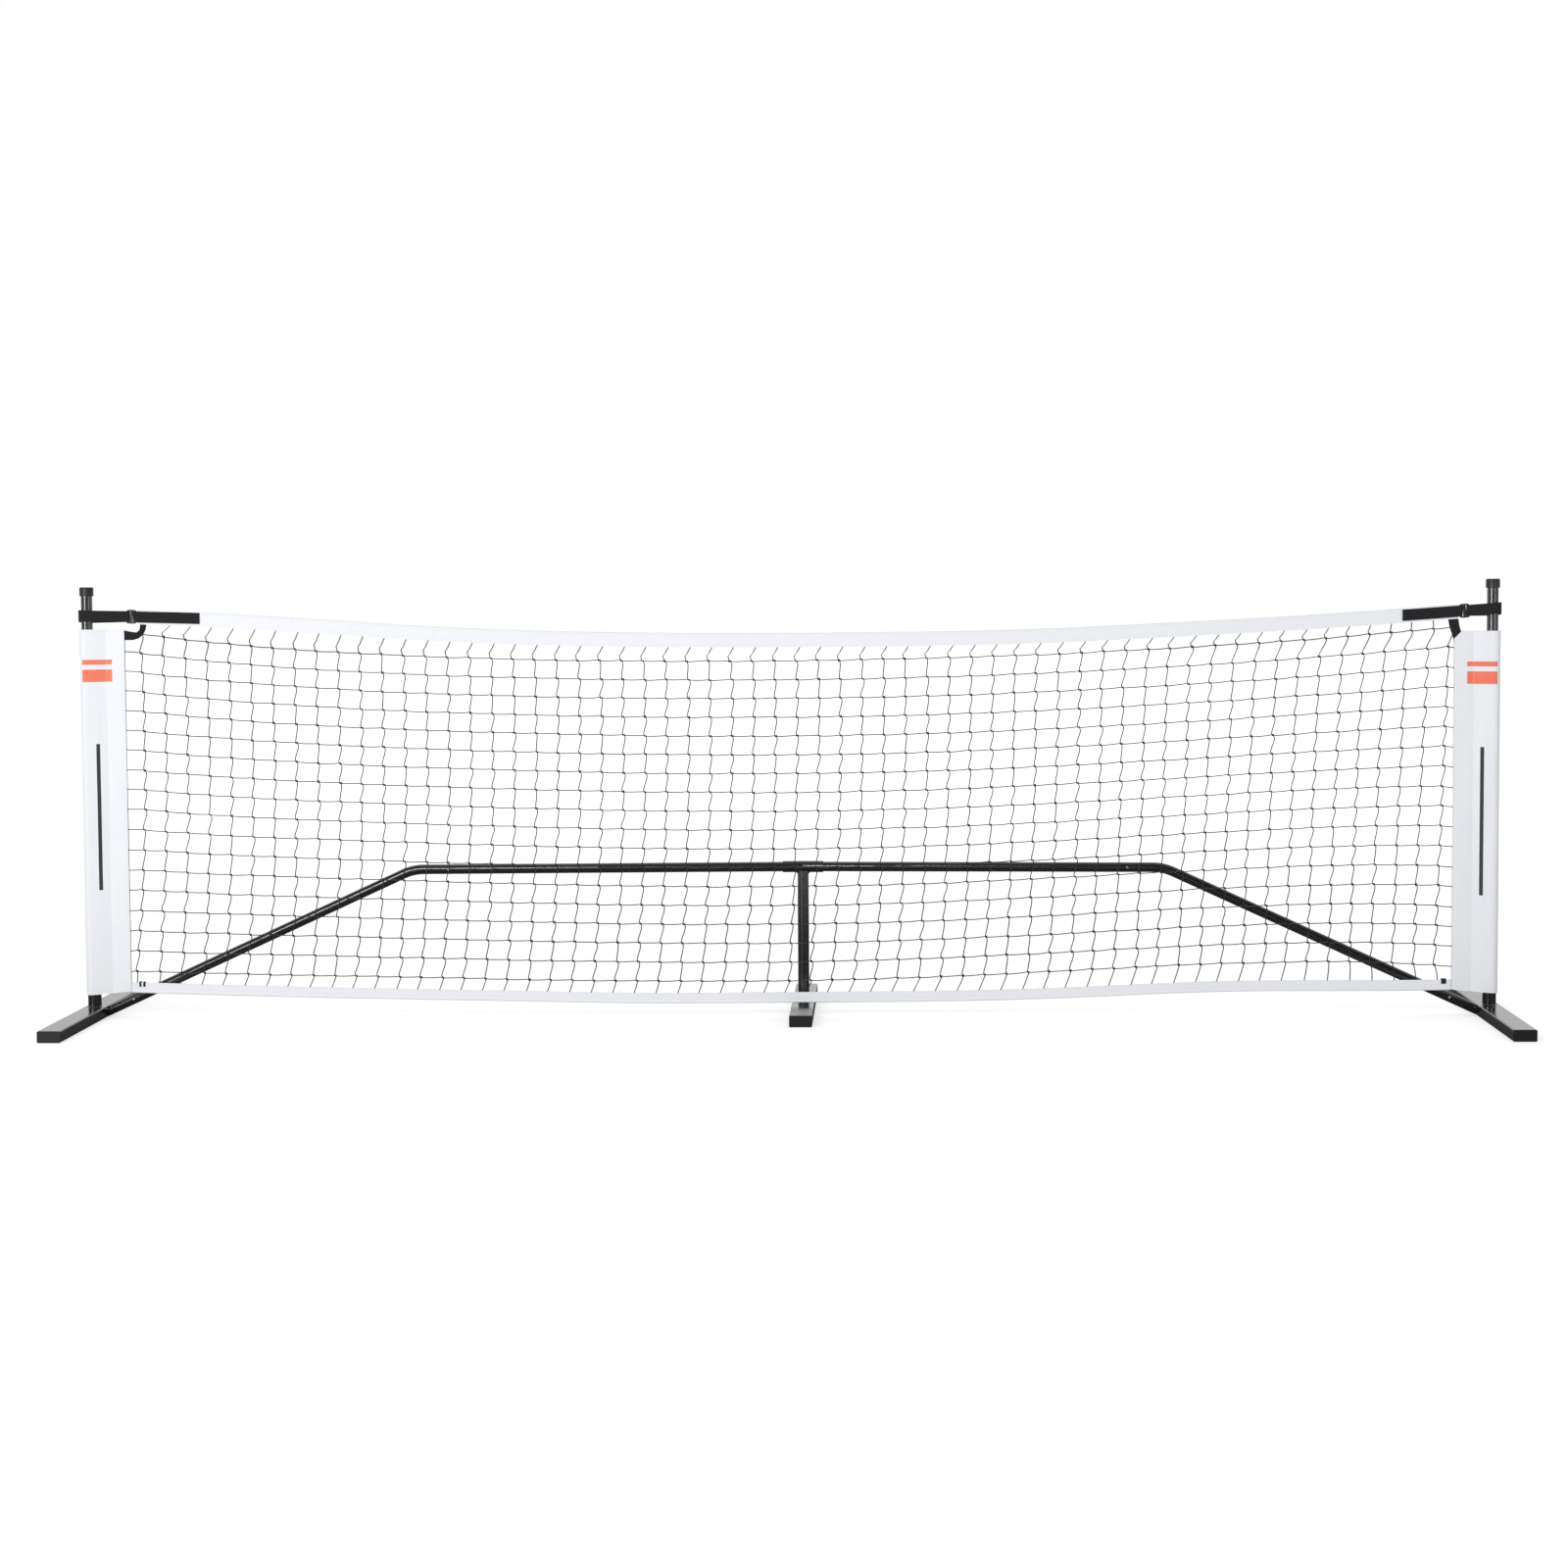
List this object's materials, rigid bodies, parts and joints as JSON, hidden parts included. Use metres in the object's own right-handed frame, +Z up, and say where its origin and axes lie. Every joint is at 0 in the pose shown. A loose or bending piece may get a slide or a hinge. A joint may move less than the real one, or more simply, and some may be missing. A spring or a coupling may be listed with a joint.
{
  "type": "portable pickleball net",
  "caption": "Half-width portable court net: knotted mesh with white tapes and sleeves, hung between two posts of a knock-down black tube frame on flat rectangular feet.",
  "frame": {"origin": "on the floor, midway between the two posts and under the net", "axes": "+X along the net to the right seen from the front, +Y to the back where the cross bars are, +Z up"},
  "size_m": [3.1908, 0.76, 0.975],
  "materials": {
    "powder_coat": "gloss black powder coat on steel tube",
    "black_plastic": "moulded, fine satin",
    "button_steel": "zinc-plated, satin",
    "white_vinyl": "smooth matt coated fabric with sewn hems",
    "netting_twine": "knotted polyethylene twine",
    "black_webbing": "woven polypropylene webbing"
  },
  "bodies": {
    "frame": {"left_foot": "powder_coat", "right_foot": "powder_coat", "centre_foot": "powder_coat", "foot_end_plugs": "black_plastic", "left_post_socket": "powder_coat", "right_post_socket": "powder_coat", "left_post": "powder_coat", "right_post": "powder_coat", "left_post_cap": "black_plastic", "right_post_cap": "black_plastic", "left_bar_stub": "powder_coat", "right_bar_stub": "powder_coat", "left_bent_bar": "powder_coat", "right_bent_bar": "powder_coat", "left_inner_bar": "powder_coat", "right_inner_bar": "powder_coat", "tee_sleeve": "powder_coat", "centre_post": "powder_coat", "button_springs": "button_steel"},
    "left_post_button": {"left_post_button": "button_steel"},
    "left_stub_button": {"left_stub_button": "button_steel"},
    "left_bar_button": {"left_bar_button": "button_steel"},
    "left_tee_button": {"left_tee_button": "button_steel"},
    "right_post_button": {"right_post_button": "button_steel"},
    "right_stub_button": {"right_stub_button": "button_steel"},
    "right_bar_button": {"right_bar_button": "button_steel"},
    "right_tee_button": {"right_tee_button": "button_steel"},
    "net": {"top_tape": "white_vinyl", "top_cord": "netting_twine", "bottom_tape": "white_vinyl", "bottom_cord": "netting_twine", "left_sleeve": "white_vinyl", "right_sleeve": "white_vinyl", "left_side_webbing": "black_webbing", "right_side_webbing": "black_webbing", "net_uprights": "netting_twine", "net_rows": "netting_twine", "left_strap_loop": "black_webbing", "right_strap_loop": "black_webbing", "left_strap_end": "black_webbing", "right_strap_end": "black_webbing", "left_buckle": "black_plastic", "right_buckle": "black_plastic"}
  },
  "joints": [
    {"name": "left_post_button_press", "type": "slide", "parent": "frame", "child": "left_post_button", "axis": [0, -1, 0], "range_m": [0, 0.0052], "stiffness_N_per_m": 500, "springref_m": -0.002},
    {"name": "right_post_button_press", "type": "slide", "parent": "frame", "child": "right_post_button", "axis": [0, -1, 0], "range_m": [0, 0.0052], "stiffness_N_per_m": 500, "springref_m": -0.002},
    {"name": "left_stub_button_press", "type": "slide", "parent": "frame", "child": "left_stub_button", "axis": [-0.0518, 0.9987, 0], "range_m": [0, 0.0043], "stiffness_N_per_m": 500, "springref_m": -0.002},
    {"name": "right_stub_button_press", "type": "slide", "parent": "frame", "child": "right_stub_button", "axis": [0.0543, 0.9985, 0], "range_m": [0, 0.0043], "stiffness_N_per_m": 500, "springref_m": -0.002},
    {"name": "left_bar_button_press", "type": "slide", "parent": "frame", "child": "left_bar_button", "axis": [-0.0518, 0.9987, 0], "range_m": [0, 0.0043], "stiffness_N_per_m": 500, "springref_m": -0.002},
    {"name": "right_bar_button_press", "type": "slide", "parent": "frame", "child": "right_bar_button", "axis": [0.0543, 0.9985, 0], "range_m": [0, 0.0043], "stiffness_N_per_m": 500, "springref_m": -0.002},
    {"name": "left_tee_button_press", "type": "slide", "parent": "frame", "child": "left_tee_button", "axis": [0.0518, -0.9987, 0], "range_m": [0, 0.0048], "stiffness_N_per_m": 500, "springref_m": -0.002},
    {"name": "right_tee_button_press", "type": "slide", "parent": "frame", "child": "right_tee_button", "axis": [-0.0543, -0.9985, 0], "range_m": [0, 0.0048], "stiffness_N_per_m": 500, "springref_m": -0.002},
    {"name": "net_lift", "type": "slide", "parent": "frame", "child": "net", "axis": [0, 0, 1], "range_m": [0, 0.03]}
  ]
}
